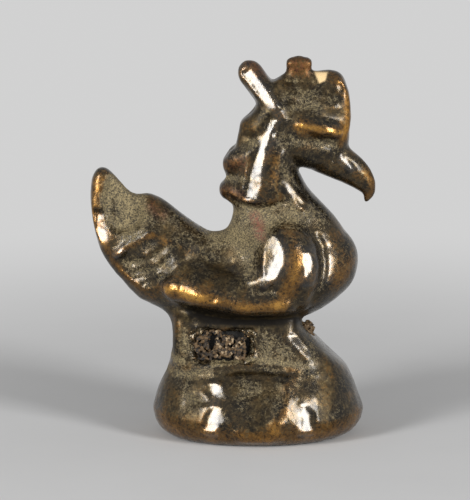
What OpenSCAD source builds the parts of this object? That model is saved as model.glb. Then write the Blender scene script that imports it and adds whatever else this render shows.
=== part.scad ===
// Bird-shaped bronze scale weight on a pedestal, cast by the lost-wax method.
// Each module is one of the pieces that the wax model was built from, and the
// casting core that still fills the chamber under the bird is a piece of its own.
// Millimetres. X points to the beak, Y to the bird's left and Z up.
// The origin lies on the flat sole, under the middle of the foot.

/* [Pedestal] */
// Length of the foot at its widest line
foot_length = 27.8; // [25:0.1:31]
// Width of the foot at its widest line
foot_width = 20.8; // [18.5:0.1:24]
// Height of the widest line above the sole
foot_height = 3.4; // [2.6:0.1:4]
// How far the flat sole stays inside the widest line
sole_inset = 2.8; // [2:0.1:3.4]
// Height of the flat top that carries the stays
pedestal_height = 10.6; // [9.4:0.1:12]
// Length of the flat top
top_length = 21.4; // [20.4:0.1:22.4]
// Width of the flat top
top_width = 12.6; // [11.8:0.1:14.6]
// How far the flat top's middle lies behind the foot's middle
top_setback = 0.8; // [0.3:0.1:1.2]
// Depth of the slope under the flat top's front edge
front_slope = 1.8; // [1.2:0.1:2.4]
// Rounding of the flat top's edge
edge_round = 0.3; // [0.2:0.1:0.5]

/* [Stays and core] */
// Height of the window between the pedestal and the belly
window_height = 3.6; // [3:0.1:4.6]
// Length of the window between the two stays
window_length = 7.2; // [6.2:0.1:7.8]
// Length of the rear stay
rear_stay_length = 3.2; // [2.6:0.1:3.8]
// Width of the rear stay
rear_stay_width = 10.6; // [9.6:0.1:11.2]
// Length of the front stay where it meets the breast
front_stay_length = 4.8; // [4.2:0.1:5.6]
// Width of the front stay
front_stay_width = 11.2; // [9.8:0.1:11.4]
// How much narrower the front stay is where it meets the breast
front_stay_taper = 1.6; // [1:0.1:2.2]
// How far the core stays behind the sides of the stays
core_recess = 0.7; // [0.4:0.1:1.4]
// Diameter of the vent through the front stay, where the core shows
vent_diameter = 2; // [1.6:0.1:2.4]
// How far the core stands out of the vent
vent_stub = 0.6; // [0.3:0.1:0.9]

/* [Body] */
// Length of the body from the breast to the rump
body_length = 30; // [28:0.1:32]
// Width of the body across the flanks
body_width = 14.8; // [13.4:0.1:16.4]
// Height of the body from the keel to the back
body_height = 13.6; // [12.6:0.1:14.6]
// How far the breast stands in front of the pedestal's middle
breast_reach = 13; // [12.2:0.1:13.8]
// Depth of the hollow in each flank above the wing's rim
flank_hollow = 1.5; // [0.8:0.1:2]

/* [Tail] */
// Height of the tail's tip above the keel
tail_rise = 21.2; // [19:0.1:24]
// How far the tail's outer edge lies behind the pedestal's middle
tail_reach = 22; // [20.8:0.1:24]
// Thickness of the tail near its tip
tail_thickness = 3.4; // [2.8:0.1:4.2]
// Depth of the feather panels sunk into each side
panel_depth = 0.8; // [0.4:0.1:1]

/* [Wings] */
// How far the shoulder's front lies behind the breast
wing_setback = 5; // [4.4:0.1:5.6]
// Length of the wing from the front of its shoulder to its tip
wing_length = 20.6; // [19:0.1:22]
// Height of the shoulder above the rim's middle line
shoulder_height = 9.6; // [8.8:0.1:10.4]
// Length of the shoulder, front to back
shoulder_length = 9; // [8:0.1:9.8]
// Thickness of the shoulder's pellet through the flank
shoulder_thickness = 8.2; // [7.4:0.1:9]
// Height of the wing's rim near its tip
rim_width = 4.4; // [3.8:0.1:5]
// How far the rim stands out of the flank
rim_relief = 1.1; // [0.8:0.1:1.5]

/* [Neck] */
// How far the throat lies behind the breast
throat_setback = 8.2; // [7.6:0.1:8.8]
// Height from the back to the throat
neck_height = 8.6; // [7.8:0.1:9.4]
// Length of the neck at the throat, front to back
neck_length = 8; // [7.4:0.1:8.6]
// Width of the neck at the throat
neck_width = 7.2; // [6.6:0.1:8]
// How far the hackle cape stands out of the neck
cape_relief = 0.6; // [0.4:0.1:0.9]
// Length of the hackle feathers behind the neck
hackle_length = 4.8; // [4.2:0.1:5.4]
// Thickness of the hackle feathers
hackle_thickness = 3.3; // [2.8:0.1:3.8]

/* [Head] */
// How far the face lies behind the breast
face_setback = 1.2; // [0.8:0.1:1.8]
// How far the jaw hangs below the throat
jaw_drop = 1.2; // [0.9:0.1:1.5]
// Length of the head without the beak
head_length = 11.8; // [10.8:0.1:12.6]
// Height of the head from the jaw to the crown
head_height = 8.4; // [7.8:0.1:9.2]
// Width of the head
head_width = 7.2; // [6.6:0.1:8]
// Length of the beak past the face
beak_length = 7.6; // [6.8:0.1:8.6]
// Depth of the beak where it leaves the face
beak_depth = 4.8; // [4.2:0.1:5.4]
// Thickness of the brow ridges
brow_thickness = 2.2; // [1.9:0.1:2.6]

/* [Crest] */
// How far the comb's front edge stands ahead of the face
comb_overhang = 0.2; // [0:0.1:0.5]
// Length of the comb, front to back
comb_length = 11; // [10.2:0.1:11.8]
// Height of the comb above the crown
comb_height = 4.7; // [4.2:0.1:5.6]
// Thickness of the comb at its front edge
comb_thickness = 4; // [3.4:0.1:4.6]
// Height of the middle lobe above the comb
lobe_height = 2.4; // [1.8:0.1:3.2]
// Length of the middle lobe, front to back
lobe_length = 3.6; // [3:0.1:4.2]
// Length of the rear plume
plume_length = 8; // [7:0.1:9]
// Thickness of the rear plume
plume_thickness = 3.4; // [2.8:0.1:4]

/* [Hidden] */

bronze = "#5a4228";
worn_bronze = "#8a6430";
fired_clay = "#3a2a1c";

// How far a form reaches into its neighbour before the neighbour is cut out of it
root = window_height * 0.7;

// Levels and places that the pieces share
keel_z = pedestal_height + window_height;
back_z = keel_z + body_height;
throat_z = back_z + neck_height;
top_front_x = top_length / 2 - top_setback;
top_back_x = -top_length / 2 - top_setback;
window_back_x = top_back_x + rear_stay_length;
window_front_x = window_back_x + window_length;
neck_back_x = breast_reach - throat_setback - neck_length;
face_x = breast_reach - face_setback;
comb_x = face_x + comb_overhang;
jaw_z = throat_z - jaw_drop;
crown_z = jaw_z + head_height;

// A section of a form: its centre, the lean of its long axis from X towards Z,
// its reach along that axis each way, its half width, and how square it is ahead
// and behind, from 1.5, nearly a diamond, through 2, an ellipse, to 8, nearly a
// rectangle.
function section(x, z, lean, ahead, behind, half_width, square = 2, y = 0, square_behind = 0) =
    [x, y, z, lean, ahead, behind, half_width, square, square_behind == 0 ? square : square_behind];

function signed_power(v, p) = sign(v) * pow(abs(v), p);

// The corners of a section
function corners(s, sides) = [
    for (k = [0 : sides - 1])
        let (
            angle = 360 * k / sides,
            front = sin(angle) >= 0,
            square = front ? s[7] : s[8],
            across = s[6] * signed_power(cos(angle), 2 / square),
            along = (front ? s[4] : s[5]) * signed_power(sin(angle), 2 / square)
        )
        [s[0] + along * cos(s[3]), s[1] + across, s[2] + along * sin(s[3])]
];

// A point on the smooth curve through a list of points or sections
function curve_point(list, u) =
    let (
        last = len(list) - 1,
        i = min(floor(u), last - 1),
        t = u - i,
        a = list[max(i - 1, 0)],
        b = list[i],
        c = list[i + 1],
        d = list[min(i + 2, last)]
    )
    b + (c - a) * t / 2 + (2 * a - 5 * b + 4 * c - d) * t * t / 2
        + (3 * b - a - 3 * c + d) * t * t * t / 2;

function smooth(list, steps) =
    [for (k = [0 : steps]) curve_point(list, (len(list) - 1) * k / steps)];

// The skin over a row of sections. Each section's long axis, its width and the
// way that the row runs make a right-handed set.
module skin(sections, sides = 36) {
    rows = len(sections);
    wall = [
        for (i = [0 : rows - 2], k = [0 : sides - 1])
            let (a = i * sides + k, b = i * sides + (k + 1) % sides)
            each [[a, b, a + sides], [b, b + sides, a + sides]]
    ];
    near_end = [for (k = [sides - 1 : -1 : 0]) k];
    far_end = [for (k = [0 : sides - 1]) (rows - 1) * sides + k];
    polyhedron(
        points = [for (s = sections) each corners(s, sides)],
        faces = concat(wall, [near_end, far_end])
    );
}

// One cast surface, at its own size
module cast() {
    resize([0, 0, 0]) children();
}

// A flattened rod along a curved line of [x, z, radius, y] points, with round ends
module rod(points, steps, flat = 1, sides = 16) {
    line = smooth(points, steps);
    function way(i) = line[min(i + 1, steps)] - line[max(i - 1, 0)];
    function lean(i) = atan2(-way(i)[0], way(i)[1]);
    function slice(i, turn) =
        let (
            p = line[i],
            r = p[2] * cos(turn),
            shift = p[2] * sin(turn),
            run = [way(i)[0], way(i)[1]] / norm([way(i)[0], way(i)[1]])
        )
        section(p[0] + shift * run[0], p[1] + shift * run[1], lean(i), r, r, r * flat, 2, p[3]);
    skin(concat(
        [for (turn = [-80, -55, -28]) slice(0, turn)],
        [for (i = [0 : steps]) slice(i, 0)],
        [for (turn = [28, 55, 80]) slice(steps, turn)]
    ), sides);
}

// A level section by its back and its front
function level(z, back, front, half_width, square = 2.2, square_behind = 0) =
    section(
        (front + back) / 2, z, 0, (front - back) / 2, (front - back) / 2, half_width, square, 0,
        square_behind
    );

// An upright section by its lower and its upper edge
function upright(x, low_z, high_z, half_width, square = 2.2) =
    section(
        x, (low_z + high_z) / 2, 90, (high_z - low_z) / 2, (high_z - low_z) / 2, half_width, square
    );

// The foot's rounded edge, from the sole to the widest line
function foot_level(turn) =
    let (inset = sole_inset * (1 - sin(turn)))
    level(
        foot_height * (1 - cos(turn)), inset - foot_length / 2, foot_length / 2 - inset * 1.25,
        foot_width / 2 - inset * 0.9, 2.1
    );

module pedestal_form() {
    shoulder_z = pedestal_height - front_slope;
    waist_z = (foot_height + shoulder_z) / 2;
    half_length = foot_length / 2;
    skin(concat(
        [for (turn = [0 : 22.5 : 67.5]) foot_level(turn)],
        smooth([
            foot_level(90),
            level(waist_z, -half_length * 0.95, half_length * 0.93, foot_width * 0.45, 2.1),
            level(
                shoulder_z, top_back_x - edge_round * 1.4, top_front_x + front_slope,
                top_width * 0.58, 2.4
            ),
            level(
                pedestal_height - edge_round, top_back_x - edge_round / 3, top_front_x + edge_round,
                top_width / 2 + edge_round / 3, 2.8
            )
        ], 8),
        [level(pedestal_height, top_back_x, top_front_x, top_width / 2, 3)]
    ), 44);
}

// A stay stands on the flat top and runs up into the body
module stay_form(back, foot_front, head_front, foot_width, head_width, square) {
    top_z = keel_z + root;
    skin([
        for (share = [0 : 0.25 : 1])
            level(
                pedestal_height + (top_z - pedestal_height) * share, back,
                foot_front + (head_front - foot_front) * share,
                (foot_width + (head_width - foot_width) * share) / 2, square, 8
            )
    ], 28);
}

module rear_stay_form() {
    stay_form(
        top_back_x + edge_round, window_back_x, window_back_x, rear_stay_width, rear_stay_width, 8
    );
}

module front_stay_form() {
    stay_form(
        window_front_x, top_front_x, window_front_x + front_stay_length, front_stay_width,
        front_stay_width - front_stay_taper, 2.8
    );
}

// The body runs from the breast to the rump. Each station gives its place from
// the breast, its keel, its widest line, its back, its half width and how square
// it is above and below its widest line.
function body_station(share, keel, waist, back, half_width, above, below) =
    section(
        breast_reach - share * body_length, keel_z + waist * body_height, 90,
        (back - waist) * body_height, (waist - keel) * body_height, half_width * body_width, above,
        0, below
    );

module body_form() {
    skin(smooth([
        body_station(0, 0.61, 0.66, 0.71, 0.04, 2, 2),
        body_station(0.02, 0.46, 0.64, 0.84, 0.17, 2, 2),
        body_station(0.08, 0.31, 0.57, 0.98, 0.31, 2, 1.95),
        body_station(0.18, 0.16, 0.48, 1.04, 0.43, 2, 1.85),
        body_station(0.32, 0.05, 0.4, 1.03, 0.495, 2, 1.7),
        body_station(0.48, 0, 0.36, 0.98, 0.5, 1.9, 1.6),
        body_station(0.62, 0.02, 0.36, 0.93, 0.47, 1.8, 1.6),
        body_station(0.78, 0.09, 0.4, 0.88, 0.35, 1.8, 1.7),
        body_station(0.9, 0.22, 0.46, 0.8, 0.17, 1.9, 1.9),
        body_station(0.98, 0.36, 0.52, 0.68, 0.07, 2, 2),
        body_station(1, 0.48, 0.52, 0.56, 0.02, 2, 2)
    ], 28), 34);
}

// The hollow in each flank, between the wing's rim, the shoulder and the back
module flank_hollows() {
    for (side = [0, 1])
        mirror([0, side, 0])
            translate([
                breast_reach - body_length * 0.6, -body_width * 0.36 - flank_hollow,
                keel_z + body_height * 0.77
            ])
                rotate([-30, 0, 0])
                    scale([body_length * 0.22, flank_hollow * 2, body_height * 0.31])
                        sphere(1, $fn = 28);
}

// The tail's sections run from its outer edge, behind, to its inner edge, above.
function tail_section(outer, inner, half_width, square) =
    let (chord = inner - outer, middle = (inner + outer) / 2, half = norm(chord) / 2)
    section(middle[0], middle[1], atan2(chord[1], chord[0]), half, half, half_width, square);

// A point on the tail, by its share of the reach behind the pedestal's middle and of the rise
function tail_point(reach, rise) = [-reach * tail_reach, keel_z + rise * tail_rise];

module tail_form() {
    skin(smooth([
        tail_section(tail_point(0.36, 0.2), tail_point(0.12, 0.46), body_width * 0.34, 2),
        tail_section(tail_point(0.5, 0.16), tail_point(0.24, 0.56), body_width * 0.37, 2),
        tail_section(tail_point(0.68, 0.16), tail_point(0.4, 0.67), body_width * 0.31, 2),
        tail_section(tail_point(0.825, 0.31), tail_point(0.55, 0.79), body_width * 0.22, 2.2),
        tail_section(tail_point(0.925, 0.45), tail_point(0.655, 0.84), tail_thickness * 0.68, 2.5),
        tail_section(tail_point(0.98, 0.64), tail_point(0.74, 0.835), tail_thickness * 0.56, 2.6),
        tail_section(tail_point(1, 0.81), tail_point(0.82, 0.91), tail_thickness * 0.5, 2.6),
        tail_section(tail_point(0.985, 0.94), tail_point(0.87, 0.97), tail_thickness * 0.42, 2.4),
        tail_section(tail_point(0.95, 1), tail_point(0.905, 1), tail_thickness * 0.2, 2)
    ], 22), 26);
}

// A shallow dish sunk into each side of the tail, centred on a point of the tail
module feather_panel(centre, lean, turn, length, width, surface_y) {
    for (side = [0, 1])
        mirror([0, side, 0])
            translate([centre[0], -surface_y - panel_depth, centre[1]])
                rotate([0, 0, -turn]) rotate([0, -lean, 0])
                    scale([length / 2, panel_depth * 2, width / 2]) sphere(1, $fn = 22);
}

module tail_panels() {
    feather_panel(
        tail_point(0.8, 0.785), 105, 2, tail_reach * 0.32, tail_reach * 0.22, tail_thickness * 0.52
    );
    feather_panel(
        tail_point(0.74, 0.39), 140, 23, tail_reach * 0.36, tail_reach * 0.22, body_width * 0.2
    );
}

// The wing: a pellet over the shoulder that leans back, and a rim that swells to its tip
module wing_form() {
    front_x = breast_reach - wing_setback;
    rim_z = keel_z + body_height * 0.37;
    flank_y = -body_width / 2 - rim_relief;
    half_pellet = shoulder_length / 2;
    half_thick = shoulder_thickness / 2;
    half_rim = rim_width / 2;
    function rim(share, rise, size, inset) =
        [
            front_x - share * wing_length, rim_z + rise * half_rim, size * half_rim,
            flank_y + (inset + size) * half_rim
        ];
    translate([front_x - half_pellet * 0.9, flank_y + half_thick, rim_z + shoulder_height * 0.38])
        rotate([0, -8, 0])
            scale([half_pellet, half_thick, shoulder_height * 0.63]) sphere(1, $fn = 30);
    rod([
        rim(0.24, -0.2, 0.91, 0.1), rim(0.46, -0.36, 0.62, 0.08), rim(0.61, 0.03, 0.8, 0.04),
        rim(0.77, 0.44, 1, 0.18), rim(1 - half_rim * 0.89 / wing_length, 0.53, 0.89, 0.88)
    ], 14, 1, 16);
}

// A level of the neck: its rise from the back to the throat, its back and front
// as shares of the neck's length and the throat's setback, and its half width
function neck_level(rise, back, front, half_width, relief = 0) =
    level(
        back_z + rise * neck_height, neck_back_x + back * neck_length,
        breast_reach - front * throat_setback, half_width * neck_width + relief
    );

module neck_form() {
    skin(smooth([
        neck_level(-0.42, -0.15, 0.15, 0.8),
        neck_level(-0.16, -0.14, 0.17, 0.735),
        neck_level(0.07, -0.05, 0.32, 0.6),
        neck_level(0.26, -0.01, 0.49, 0.51),
        neck_level(0.44, -0.025, 0.68, 0.5),
        neck_level(0.64, 0, 0.84, 0.5),
        neck_level(1, 0.06, 1.01, 0.485),
        neck_level(1.26, 0.25, 1.05, 0.43),
        neck_level(1.42, 0.45, 1.12, 0.3)
    ], 16), 26);
}

// The cape of hackles: a sleeve round the upper neck with a rounded lower edge
module cape_form() {
    skin(smooth([
        neck_level(0.36, 0.075, 1.24, 0.39, cape_relief),
        neck_level(0.39, -0.01, 1.16, 0.48, cape_relief),
        neck_level(0.465, -0.05, 1.12, 0.515, cape_relief),
        neck_level(0.66, -0.05, 1.13, 0.5, cape_relief),
        neck_level(1, 0.025, 1.11, 0.485, cape_relief),
        neck_level(1.26, 0.175, 1.07, 0.46, cape_relief),
        neck_level(1.49, 0.375, 1.07, 0.36, cape_relief),
        neck_level(1.58, 0.55, 1.2, 0.22, cape_relief)
    ], 14), 22);
}

// A hackle feather: a fat leaf from the neck's side to its round tip behind.
// Its tip stands behind the neck by a share of the feather's length.
module hackle(behind, rise, slope, size) {
    thick = size * hackle_thickness / 2;
    run = hackle_length - thick * 1.6;
    tip_x = neck_back_x - behind * hackle_length;
    tip_z = back_z + rise * neck_height;
    function along(share, swell) =
        [
            tip_x + thick * 0.9 + run * share * cos(slope), tip_z + run * share * sin(slope),
            thick * swell, 0
        ];
    rod([along(1.4, 0.7), along(0.9, 0.9), along(0.4, 1), along(0, 0.9)], 6, 1.5, 14);
}

module upper_hackle_form() {
    hackle(-0.125, 1.4, 54, 0.91);
}

module middle_hackle_form() {
    hackle(0.31, 0.9, 42, 1);
}

module lower_hackle_form() {
    hackle(0.42, 0.55, 32, 1.03);
}

// The head runs from the face to the nape
function head_station(share, jaw, crown, half_width, square = 2.2) =
    upright(
        face_x - share * head_length, jaw_z + jaw * head_height,
        jaw_z + crown * head_height, half_width * head_width, square
    );

module head_form() {
    skin(smooth([
        head_station(0, 0.46, 0.58, 0.08, 2),
        head_station(0.03, 0.3, 0.76, 0.2),
        head_station(0.12, 0.1, 0.92, 0.33),
        head_station(0.28, -0.02, 0.98, 0.43),
        head_station(0.48, 0.01, 1, 0.49),
        head_station(0.66, 0.12, 1, 0.49),
        head_station(0.88, 0.4, 0.98, 0.36),
        head_station(1, 0.62, 0.86, 0.12, 2)
    ], 17), 24);
}

module beak_form() {
    half = beak_depth / 2;
    function bill(along, drop, size) =
        [
            face_x - 0.29 * head_length + along * beak_length,
            jaw_z + 0.24 * head_height - drop * beak_length, half * size, 0
        ];
    rod([
        bill(0, 0, 1.1), bill(0.3, 0.16, 0.98), bill(0.56, 0.34, 0.82),
        bill(0.73, 0.53, 0.6), bill(0.79, 0.68, 0.38), bill(0.75, 0.8, 0.2)
    ], 14, 0.85, 18);
}

// A brow ridge over the eye, proud of the head's side
module brow_form() {
    half = brow_thickness / 2;
    function ridge(share, rise, size, side) =
        [
            face_x - share * head_length, jaw_z + 0.655 * head_height + rise * half, half * size,
            -side * head_width
        ];
    rod([
        ridge(0.6, 0.65, 0.45, 0.43), ridge(0.46, 0.6, 0.86, 0.43),
        ridge(0.3, 0.27, 1.05, 0.42), ridge(0.165, -0.18, 0.95, 0.345)
    ], 9, 1, 12);
}

// An upright section of the comb: its place behind the comb's front edge, and its
// lower and upper edge above the crown
function comb_section(share, low, high, half_width, square) =
    upright(
        comb_x - share * comb_length, crown_z + low * comb_height, crown_z + high * comb_height,
        half_width * comb_thickness, square
    );

// The comb: an upright plate over the crown with a thick roll down its front edge
module comb_form() {
    skin(smooth([
        comb_section(0, -0.38, -0.13, 0.15, 2),
        comb_section(0.03, -0.77, 0.34, 0.375, 2.2),
        comb_section(0.09, -0.77, 0.79, 0.5, 2.4),
        comb_section(0.2, -0.68, 0.98, 0.48, 2.6),
        comb_section(0.4, -0.6, 0.96, 0.42, 2.6),
        comb_section(0.635, -0.51, 0.87, 0.41, 2.6),
        comb_section(0.835, -0.47, 0.85, 0.41, 2.6),
        comb_section(0.955, -0.34, 0.43, 0.33, 2.2),
        comb_section(1, -0.13, 0.06, 0.15, 2)
    ], 20), 22);
}

// The round knob on the comb's upper edge
module lobe_form() {
    x = comb_x - 0.62 * comb_length;
    half = lobe_length / 2;
    base_z = crown_z + 0.4 * comb_height;
    peak_z = crown_z + 0.87 * comb_height + lobe_height;
    rod([
        [x, base_z, half * 1.1, 0],
        [x, base_z * 0.6 + peak_z * 0.4, half * 0.98, 0],
        [x, peak_z - half * 0.9, half * 0.9, 0]
    ], 5, 0.8, 18);
}

module plume_form() {
    half = plume_thickness / 2;
    slope = 125;
    run = plume_length - half;
    function along(share, size) =
        [
            comb_x - 0.865 * comb_length + run * share * cos(slope),
            crown_z - 0.19 * comb_height + run * share * sin(slope), half * size, 0
        ];
    rod([along(-0.3, 0.9), along(0, 1.05), along(0.5, 1), along(1, 1)], 9, 0.85, 18);
}

// The vent's level, and how far the front stay reaches past the window there
vent_rise = window_height * 0.88;
vent_reach = (top_front_x - window_front_x) * (1 - vent_rise / (window_height + root))
    + front_stay_length * vent_rise / (window_height + root);

// The vent runs through the front stay, along X under the breast, to a round end
module vent_form(length) {
    half = vent_diameter / 2;
    rod([
        [window_front_x - root / 2, pedestal_height + vent_rise, half, 0],
        [window_front_x + length / 2, pedestal_height + vent_rise, half, 0],
        [window_front_x + length - half, pedestal_height + vent_rise, half, 0]
    ], 4, 1, 18);
}

// The core fills the window between the stays and shows at the front vent
module core_form() {
    core_width = min(rear_stay_width, front_stay_width) - 2 * core_recess;
    skin([
        for (share = [0 : 0.25 : 1])
            level(
                pedestal_height + (window_height + root) * share, window_back_x - root / 2,
                window_front_x + root / 2, core_width / 2, 5
            )
    ], 28);
}

module pedestal() {
    color(bronze) difference() {
        pedestal_form();
        translate([-foot_length, -foot_width, -foot_height])
            cube([2 * foot_length, 2 * foot_width, foot_height]);
    }
}

module rear_stay() {
    color(bronze) cast() difference() {
        rear_stay_form();
        body_form();
        tail_form();
    }
}

module front_stay() {
    color(bronze) cast() difference() {
        front_stay_form();
        body_form();
        vent_form(vent_reach + vent_stub);
    }
}

module casting_core() {
    color(fired_clay) cast() difference() {
        union() {
            difference() {
                core_form();
                rear_stay_form();
                front_stay_form();
            }
            vent_form(vent_reach + vent_stub);
        }
        body_form();
        tail_form();
    }
}

module body() {
    color(bronze) cast() difference() {
        body_form();
        flank_hollows();
    }
}

module tail() {
    color(bronze) cast() difference() {
        tail_form();
        body_form();
        tail_panels();
        flank_hollows();
    }
}

module right_wing() {
    color(worn_bronze) cast() difference() {
        wing_form();
        difference() {
            union() {
                body_form();
                neck_form();
                tail_form();
            }
            flank_hollows();
        }
    }
}

module left_wing() {
    mirror([0, 1, 0]) right_wing();
}

module neck() {
    color(bronze) cast() difference() {
        neck_form();
        body_form();
        tail_form();
        flank_hollows();
    }
}

module hackle_cape() {
    color(bronze) cast() difference() {
        cape_form();
        neck_form();
    }
}

module upper_hackle() {
    color(bronze) cast() difference() {
        upper_hackle_form();
        cape_form();
        neck_form();
    }
}

module middle_hackle() {
    color(bronze) cast() difference() {
        middle_hackle_form();
        upper_hackle_form();
        cape_form();
        neck_form();
    }
}

module lower_hackle() {
    color(bronze) cast() difference() {
        lower_hackle_form();
        middle_hackle_form();
        cape_form();
        neck_form();
    }
}

module head() {
    color(bronze) cast() difference() {
        head_form();
        neck_form();
        cape_form();
        upper_hackle_form();
    }
}

module beak() {
    color(worn_bronze) cast() difference() {
        beak_form();
        head_form();
        neck_form();
    }
}

module right_brow() {
    color(worn_bronze) cast() difference() {
        brow_form();
        head_form();
        comb_form();
        cape_form();
    }
}

module left_brow() {
    mirror([0, 1, 0]) right_brow();
}

module comb() {
    color(bronze) cast() difference() {
        comb_form();
        head_form();
        neck_form();
        cape_form();
        upper_hackle_form();
    }
}

module crest_lobe() {
    color(worn_bronze) cast() difference() {
        lobe_form();
        comb_form();
        head_form();
    }
}

module rear_plume() {
    color(worn_bronze) cast() difference() {
        plume_form();
        comb_form();
        head_form();
        cape_form();
        upper_hackle_form();
        neck_form();
    }
}

pedestal();
rear_stay();
front_stay();
casting_core();
body();
tail();
right_wing();
left_wing();
neck();
hackle_cape();
upper_hackle();
middle_hackle();
lower_hackle();
head();
beak();
right_brow();
left_brow();
comb();
crest_lobe();
rear_plume();
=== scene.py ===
import math
import random

import bmesh
import bpy
import numpy as np
from mathutils import Matrix, Vector, noise
from mathutils.kdtree import KDTree


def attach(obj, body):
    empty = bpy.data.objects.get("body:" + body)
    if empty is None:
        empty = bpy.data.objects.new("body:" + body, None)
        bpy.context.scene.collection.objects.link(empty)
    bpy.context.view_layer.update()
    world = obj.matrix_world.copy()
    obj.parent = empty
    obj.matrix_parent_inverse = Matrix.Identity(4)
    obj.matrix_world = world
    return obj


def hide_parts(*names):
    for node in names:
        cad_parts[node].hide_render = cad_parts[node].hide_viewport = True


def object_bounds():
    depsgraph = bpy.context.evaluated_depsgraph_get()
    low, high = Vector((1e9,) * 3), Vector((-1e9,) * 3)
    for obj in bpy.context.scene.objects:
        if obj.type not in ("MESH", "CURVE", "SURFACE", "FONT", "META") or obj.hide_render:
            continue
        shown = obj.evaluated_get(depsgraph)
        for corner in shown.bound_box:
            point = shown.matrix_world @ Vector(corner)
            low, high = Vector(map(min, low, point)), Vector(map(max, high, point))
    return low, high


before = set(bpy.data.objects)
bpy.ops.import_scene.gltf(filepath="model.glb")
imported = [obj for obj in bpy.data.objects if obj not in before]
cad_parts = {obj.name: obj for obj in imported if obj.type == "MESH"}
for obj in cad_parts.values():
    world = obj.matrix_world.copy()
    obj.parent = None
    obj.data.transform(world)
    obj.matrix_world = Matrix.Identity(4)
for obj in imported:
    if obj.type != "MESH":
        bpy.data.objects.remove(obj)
cad_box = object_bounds()

# Shapes and grain are worked in millimetres and brought to metres at the end.
MM = 0.001

# Camera: level with the bird's side, a little above the horizon.
LOOKS_AT = Vector((-3.08, 0.0, 24.4)) * MM
CAMERA_AWAY = 450.0 * MM
CAMERA_ABOVE = math.radians(11.0)
SENSOR = 36.0
LENS = 263.3
CAMERA_RANGE = (0.01, 20.0)

# The pale ground, and a floor whose own shading fades into it between two distances.
PALE = (0.64, 0.64, 0.64, 1.0)
FLOOR_LIT = 30.0
FLOOR_FADED = 150.0
FLOOR_RADIUS = 1500.0 * MM
FLOOR_SIDES = 96
FLOOR_GRAIN = 30.0
FLOOR_MOTTLE = (0.3, 0.7)
FLOOR_TONES = ((0.63, 0.63, 0.63), (0.65, 0.65, 0.65))
FLOOR_ROUGH = 0.9
FLOOR_GLOSS = 0.1

# The rays besides the camera's that meet the pale ground, and the light for the others.
OTHER_RAYS = ("Is Glossy Ray", "Is Transmission Ray")
DIM = (0.25, 0.25, 0.25, 1.0)

# The softboxes: width and height, power, and where they stand around the bird.
LAMP_SIZE = (150.0 * MM, 340.0 * MM)
LAMP_POWER = 3.2
LAMP_AROUND = math.radians(48.0)
LAMP_ABOVE = math.radians(16.0)
LAMP_AWAY = 600.0 * MM
LAMPS_MEET = Vector((0.0, 0.0, 25.0)) * MM

# Fineness of the cast skin, and of the forms that cut it into pieces.
SKIN_VOXEL = 0.2
CUTTER_VOXEL = 0.35
CUTTER_GROWTH = 0.4
# Corners of a node this close are one.
SAME_CORNER = 0.001
# Vertices this close belong to the same cut.
TOUCH = 0.002

# Beads follow each other at this share of their radius.
BEAD_STEP = 0.3
BEAD_FINENESS = 3
# Rounds of softening after each kind of work.
SOFTEN_ROLLS = 6
FILL_CORNERS = 20
SOFTEN_FORMS = 4
SOFTEN_LINES = 2
# How far a point goes towards its neighbours in one round.
RELAX_SHARE = 0.5
SMOOTH_SHARE = 0.7
# Inside corners that are this hollow fill at the full rate.
FILL_START = 0.004
# How far round a facet's line its level is measured.
FACET_PROBE = 0.4
# No press makes the casting thinner than this at each side of its middle plane.
THINNEST = 0.5
# How soon a tool bites as the skin turns to the side.
TOOL_FACING = 1.6
# How far each seed shifts the noise.
WAVE_STEPS = (17.3, 5.1, 9.7)
# Unevenness all over: height, size and seed.
UNEVEN = [(0.05, 4.0, 1), (0.03, 1.3, 2)]

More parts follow.
